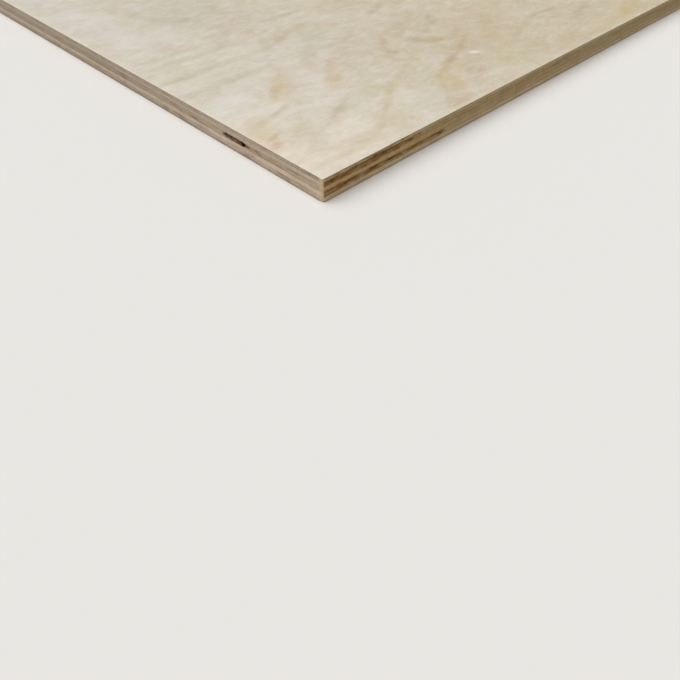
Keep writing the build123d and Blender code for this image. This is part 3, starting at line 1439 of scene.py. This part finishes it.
@dataclass
class PlywoodSheet:
    """The whole sheet: five veneers, their grain crossed."""

    face_long: str = "#B8A272"
    face_end: str = "#BBAD9E"
    upper_long: str = "#C9B9A9"
    upper_end: str = "#B19663"
    core_long: str = "#AE9161"
    core_end: str = "#C2B09B"
    lower_long: str = "#D5C4B1"
    lower_end: str = "#C6AB7C"
    back_long: str = "#D6BF93"
    back_end: str = "#D3C3B4"

    def build(self) -> list[bpy.types.Object]:
        """Build every veneer.

        Returns:
            The finished pieces.
        """
        size = (CAD_HIGH - CAD_LOW) / MM
        outline = TrimmedOutline(length=size.x, width=size.y)
        joints = GlueJoints(outline, size.z)
        pieces = []
        for number, veneer in enumerate(self._veneers()):
            pieces.append(veneer.build(outline, joints, number))
            LOG.info("%s: %d faces", pieces[-1].name, len(pieces[-1].data.polygons))
        return pieces

    def _veneers(self) -> list[Veneer]:
        """Say what each veneer is.

        Returns:
            The lay-up from the underside up.
        """
        x, y = Grain.ALONG_X, Grain.ALONG_Y
        return [
            Veneer("back_veneer", "birch_face", x,
                   SawnBirch("birch_back_sawn", x, self.back_long, self.back_end, 2.0, streaks=0.6),
                   shows=Side.UNDER, broad=self._back(),
                   burn=SawBurn(soaks=(0.0, 0.5), soaking=0.3, scorch_end=44.5),
                   wear_light_and_shade=EdgeWearLightAndShade(greying=0.42, bruise=0.35)),
            Veneer("lower_crossband", "birch_crossband", y,
                   SawnBirch("birch_lower_crossband_sawn", y, self.lower_long, self.lower_end, 5.0),
                   burn=SawBurn(scorch=0.95, scorch_fall=0.7, scorch_end=44.5, scorch_fade=3.0),
                   wear_light_and_shade=EdgeWearLightAndShade(greying=0.26)),
            Veneer("core_veneer", "birch_core", x,
                   SawnBirch("birch_core_sawn", x, self.core_long, self.core_end, 8.0, streaks=0.66),
                   burn=SawBurn(soaks=(0.8, 0.8), soaking=0.6, scorch_end=42.0, scorch_fade=36.0,
                                toast=0.85, toast_end=44.0),
                   wear_light_and_shade=EdgeWearLightAndShade(greying=0.5), holds_knot=True, edge_rows=16),
            Veneer("upper_crossband", "birch_crossband", y,
                   SawnBirch("birch_upper_crossband_sawn", y, self.upper_long, self.upper_end, 11.0),
                   burn=SawBurn(scorch=1.0, scorch_fall=0.5, scorch_end=36.0), wear_light_and_shade=EdgeWearLightAndShade(greying=0.4)),
            Veneer("face_veneer", "birch_face", x,
                   SawnBirch("birch_face_sawn", x, self.face_long, self.face_end, 14.0),
                   shows=Side.UPPER, broad=self._face(),
                   burn=SawBurn(scorch=0.5, soaks=(0.64, 0.0), soaking=0.8, scorch_end=32.0),
                   wear_light_and_shade=EdgeWearLightAndShade(greying=0.12)),
        ]

    def _face(self) -> RotaryCutBirch:
        """The good face, with the ovals, islands, flecks and ring lines that its peeling laid bare.

        Returns:
            The face's finish.
        """
        rings = (Mound(214, 70, 90, 40, 3.0, lean=4), Mound(150, 170, 110, 46, -3.0, lean=6))
        quiet = (Mound(45, 45, 150, 80, -0.85, lean=-45),)
        # A small pale spot laid on the face.
        nick = Stain("#F7F0E0", (Mound(81.9, 20.0, 2.4, 1.3, 0.7, lean=-44),), rim=THIN_RIM, ragged=0.0)
        return RotaryCutBirch("birch_rotary_cut_sanded", seed=3.0, rings=rings, quiet=quiet, figure=1.3,
                              stains=(*self._islands(), *self._flecks(), *self._ring_lines(), nick))

    def _islands(self) -> tuple[Stain, ...]:
        """Broad tan and straw islands, and the stripes of the rings that run out at the left edge.

        Returns:
            Their stains, in the order that they are laid.
        """
        straw = Stain("#DAD3B2", (
            Mound(16, 68, 26, 17, 0.24), Mound(56, 74, 8, 3, 0.3), Mound(22, 5, 26, 4, 0.08)))
        stripes = Stain("#A8A68A", (
            Mound(16, 55.4, 21, 2.4, 0.31, lean=1), Mound(20, 66, 24, 2.2, 0.28, lean=1),
            Mound(16, 76.2, 21, 2.2, 0.3), Mound(20, 82, 14, 1.8, 0.22), Mound(62, 84.4, 11, 1.8, 0.3),
            Mound(56, 63.2, 9, 2, 0.28), Mound(55, 54.4, 7, 1.8, 0.26)), ragged=0.45)
        brown = Stain("#B0966C", (
            Mound(95, 27, 24, 12, 0.16, lean=24), Mound(105, 33, 9, 3.4, 0.2, lean=36),
            Mound(57, 72.8, 6, 3, 0.5, lean=10), Mound(48.5, 71.5, 7.5, 3.6, 0.46, lean=45),
            Mound(20.6, 40.6, 3, 2, 0.3, lean=50), Mound(60.5, 10.2, 3.4, 1.5, 0.26, lean=15),
            Mound(17, 32.4, 2.8, 1.3, 0.36, lean=18), Mound(52, 2.6, 3, 1.6, 0.2)))
        tan = Stain("#C9B27C", (
            Mound(24, 42, 11, 4, 0.42, lean=45), Mound(41, 39.2, 9.5, 3.2, 0.44, lean=50),
            Mound(4.5, 27.5, 6, 3, 0.2, lean=30), Mound(35, 11, 13, 4.4, 0.16, lean=40),
            Mound(58, 24.6, 11, 3.6, 0.06, lean=28), Mound(60.5, 10.5, 5.5, 3.2, 0.32, lean=25),
            Mound(57, 6.5, 6, 3, 0.14, lean=45), Mound(52, 3, 6.5, 2.8, 0.22, lean=15),
            Mound(66, 16.6, 9, 4, 0.42, lean=22), Mound(16, 5, 15, 2.4, 0.06, lean=2),
            Mound(98, 25.5, 8, 4, 0.38, lean=35), Mound(90, 14, 12, 5, 0.24, lean=20),
            Mound(127, 5, 30, 4, 0.22), Mound(152, 6, 11, 4.2, 0.5, lean=20),
            Mound(134, 30, 12, 3, 0.06, lean=20)), rim=(0.48, 1.2), ragged=0.66)
        amber = Stain("#E2BE92", (Mound(3.2, 22, 6.5, 4, 0.34, lean=75), Mound(3, 12, 8, 3, 0.12, lean=90)))
        return straw, stripes, brown, tan, amber

    def _flecks(self) -> tuple[Stain, ...]:
        """Short contours, rosy and olive flecks, and the milky places between them.

        Returns:
            Their stains, in the order that they are laid.
        """
        contours = Stain("#A5915C", (
            Mound(24, 19.4, 6.5, 1.6, 0.1, lean=32), Mound(31, 23.2, 5, 1.4, 0.14, lean=30),
            Mound(38, 15.4, 6.5, 1.9, 0.12, lean=40), Mound(45, 21.6, 5.5, 1.7, 0.14, lean=42),
            Mound(55, 25.3, 8, 1.7, 0.1, lean=28), Mound(74, 21.8, 6, 1.7, 0.26, lean=20),
            Mound(82, 25.2, 6, 1.8, 0.1, lean=28), Mound(89.5, 29.2, 5, 1.6, 0.12, lean=28)))
        rosy = Stain("#B3937A", (
            Mound(41, 70, 8, 2.4, 0.24, lean=55), Mound(33, 82, 10, 4, 0.16, lean=45),
            Mound(45, 54, 12, 3.2, 0.2, lean=42), Mound(58, 47, 14, 7, 0.16, lean=42),
            Mound(63.8, 38.6, 4.8, 2, 0.44, lean=110), Mound(67.4, 43.8, 4.6, 1.8, 0.38, lean=50),
            Mound(66.4, 33, 3.4, 1.6, 0.1, lean=60), Mound(78, 49, 12, 5, 0.08, lean=35),
            Mound(5, 22, 3, 1.2, 0.3, lean=20), Mound(2.5, 18.5, 3.4, 1.5, 0.5, lean=15),
            Mound(88, 24.5, 7, 1.5, 0.24, lean=36), Mound(87, 67, 9, 2.2, 0.34, lean=25),
            Mound(113, 6.5, 9, 3.4, 0.12, lean=12), Mound(73, 11, 3.4, 1.4, 0.34, lean=10)))
        olive = Stain("#978A5C", (
            Mound(44, 108, 20, 17, 0.15), Mound(27, 115, 9, 3.6, 0.17, lean=110),
            Mound(34, 105, 9, 3.4, 0.15, lean=130), Mound(13, 31.2, 3, 1.2, 0.24, lean=20),
            Mound(104, 16, 8, 2, 0.1, lean=20), Mound(79, 37.5, 7, 3.8, 0.36, lean=-50),
            Mound(86, 42.4, 7, 2, 0.16, lean=25), Mound(94, 47, 6, 2.6, 0.38, lean=45),
            Mound(44.5, 44.5, 3.4, 1.2, 0.16, lean=52), Mound(71.5, 13.8, 5, 2.2, 0.22, lean=30),
            Mound(121, 25.4, 6, 1.6, 0.12, lean=15), Mound(129, 24.8, 9, 1.6, 0.24, lean=-4),
            Mound(139, 16.8, 13, 3.8, 0.16, lean=24), Mound(98, 10.5, 10, 3, 0.08, lean=10),
            Mound(63, 55, 8, 2, 0.18, lean=38)))
        milk = Stain("#E0DCD9", (
            Mound(8, 42, 8.5, 9.5, 0.42), Mound(12, 112, 11, 24, 0.34), Mound(6, 144, 12, 26, 0.32),
            Mound(24, 98, 11, 9, 0.3), Mound(69, 25.4, 5, 2.6, 0.28, lean=30),
            Mound(72, 97, 13, 5, 0.06), Mound(22, 29, 6, 2, 0.2, lean=35)))
        return contours, rosy, olive, milk

    def _ring_lines(self) -> tuple[Stain, ...]:
        """Growth rings that run across the near part of the face as thin wandering lines.

        Returns:
            Their stains, in the order that they are laid.
        """
        yellow = Stain("#C2AE76", ring_cut(
            0.3, 1.7, (1, 4.3), (13, 4.6), (22, 5.2), (28, 8.2), (35, 13.2), (42, 18.4), (49, 22.5),
            (57, 26.5), (64, 31)), rim=THIN_RIM, ragged=0.55)
        tan = Stain("#B4955A", (
            *ring_cut(0.24, 2.3, (50, 2.5), (54, 8), (58, 13.5), (63, 17.6), (70, 20.8), (78, 23.8),
                      (84, 26.6), (90, 30.5)),
            *ring_cut(0.2, 2.3, (74.5, 40), (78, 36.6), (82, 33.4), (88, 32.4), (94, 36.4), (101, 40.6)),
            *ring_cut(0.16, 1.6, (62.5, 36.5), (64.5, 42), (70, 47.5), (78, 50.5), (88, 52.5), (96, 58)),
            *ring_cut(0.14, 2.0, (101, 40.6), (108, 42.5), (116, 47))), rim=THIN_RIM, ragged=0.55)
        dark = Stain("#94804E", (
            *ring_cut(0.14, 1.3, (11, 14.8), (17, 17.3), (23, 20), (29, 23.2), (35, 26.5)),
            *ring_cut(0.14, 1.7, (101, 18.2), (109, 21.4), (117, 24.4), (125, 25.8), (134, 24.4)),
            *ring_cut(0.14, 1.9, (129, 14.2), (138, 17), (146, 19)),
            *ring_cut(0.1, 1.3, (2, 26.5), (8, 29.8), (14, 31.3), (19, 33.5))), rim=THIN_RIM, ragged=0.5)
        return yellow, tan, dark

    def _back(self) -> RotaryCutBirch:
        """The back, peeled from another stretch of the log and a shade browner.

        Returns:
            The back's finish.
        """
        rings = (Mound(80, 100, 110, 44, 4.0, lean=-4), Mound(225, 200, 120, 52, -4.0),
                 Mound(205, 60, 90, 32, 3.0, lean=8))
        return RotaryCutBirch("birch_rotary_cut_back", seed=17.0, cool_tone_and_light="#D3C6AA", warm_tone_and_light="#D2C2A0",
                              painted_light_cream="#D8CBB2", rings=rings, figure=1.9, light_pool_reach=20.0, roughness=0.64)


@dataclass
class Studio:
    """A pale floor, soft light and the camera that looks down on the sheet's front left corner."""

    camera_from_corner: tuple[float, float, float] = (-77.25, -84.16, 75.65)
    heading: float = 45.54
    pitch: float = 46.55
    focal_length: float = 31.28
    near_clip: float = 5.0
    far_clip: float = 200000.0
    floor_colour: str = "#E9E7E3"
    floor_reach: float = 40000.0
    floor_drop: float = 0.05
    floor_roughness: float = 0.95
    light_colour: str = "#FFFFFF"
    sky: float = 0.34
    key: float = 2.3
    key_softness: float = 70.0
    key_way: tuple[float, float, float] = (0.38, -0.3, -1.0)

    def build(self) -> None:
        """Make the floor, the world, the lamp and the camera."""
        self._floor()
        self._world()
        self._lamp()
        self._camera()
        bpy.context.scene.view_settings.view_transform = "Standard"

    def _floor(self) -> None:
        """Lay a wide floor just under the sheet: board under matt emulsion, which shows no gloss at all."""
        reach, level = self.floor_reach * MM, -self.floor_drop * MM
        corners = [(x * reach, y * reach, level) for x, y in ((-1, -1), (1, -1), (1, 1), (-1, 1))]
        mesh = bpy.data.meshes.new("floor")
        mesh.from_pydata(corners, [], [(0, 1, 2, 3)])
        floor = bpy.data.objects.new("floor", mesh)
        bpy.context.scene.collection.objects.link(floor)
        painted = new_material("painted_board_matt")
        shader = add_node(painted.node_tree, "ShaderNodeBsdfPrincipled", {
            "Base Color": linear(self.floor_colour), "Roughness": self.floor_roughness,
            "Specular IOR Level": 0.0})
        add_node(painted.node_tree, "ShaderNodeOutputMaterial", {"Surface": shader})
        mesh.materials.append(painted)

    def _world(self) -> None:
        """Give soft light from all round, and the floor's colour where the camera sees past the floor."""
        world = bpy.data.worlds.new("studio")
        bpy.context.scene.world = world
        world.use_nodes = True
        tree = world.node_tree
        tree.nodes.clear()
        seen_directly = add_node(tree, "ShaderNodeLightPath", out="Is Camera Ray")
        light, backdrop = (
            add_node(tree, "ShaderNodeBackground", {"Color": linear(colour), "Strength": strength})
            for colour, strength in ((self.light_colour, self.sky), (self.floor_colour, 1.0)))
        both = add_node(tree, "ShaderNodeMixShader", {0: seen_directly, 1: light, 2: backdrop})
        add_node(tree, "ShaderNodeOutputWorld", {"Surface": both})

    def _lamp(self) -> None:
        """Hang one broad soft lamp high up behind the left edge."""
        lamp = bpy.data.lights.new("key", "SUN")
        lamp.energy = self.key
        lamp.angle = math.radians(self.key_softness)
        lamp.color = linear(self.light_colour)[:3]
        holder = bpy.data.objects.new("key", lamp)
        holder.rotation_mode = "QUATERNION"
        holder.rotation_quaternion = Vector(self.key_way).to_track_quat("-Z", "Y")
        bpy.context.scene.collection.objects.link(holder)

    def _camera(self) -> None:
        """Place the camera from the sheet's front left corner."""
        data = bpy.data.cameras.new("camera")
        data.lens = self.focal_length
        data.clip_start = self.near_clip * MM
        data.clip_end = self.far_clip * MM
        heading, pitch = math.radians(self.heading), math.radians(self.pitch)
        level = math.cos(pitch)
        look = Vector((math.cos(heading) * level, math.sin(heading) * level, -math.sin(pitch)))
        holder = bpy.data.objects.new("camera", data)
        holder.location = CAD_LOW + Vector(self.camera_from_corner) * MM
        holder.rotation_mode = "QUATERNION"
        holder.rotation_quaternion = look.to_track_quat("-Z", "Y")
        bpy.context.scene.collection.objects.link(holder)
        bpy.context.scene.camera = holder


def main() -> None:
    """Build the studio and the sheet."""
    logging.basicConfig(level=logging.INFO)
    Studio().build()
    PlywoodSheet().build()
    bpy.context.view_layer.update()


if __name__ == "__main__":
    main()
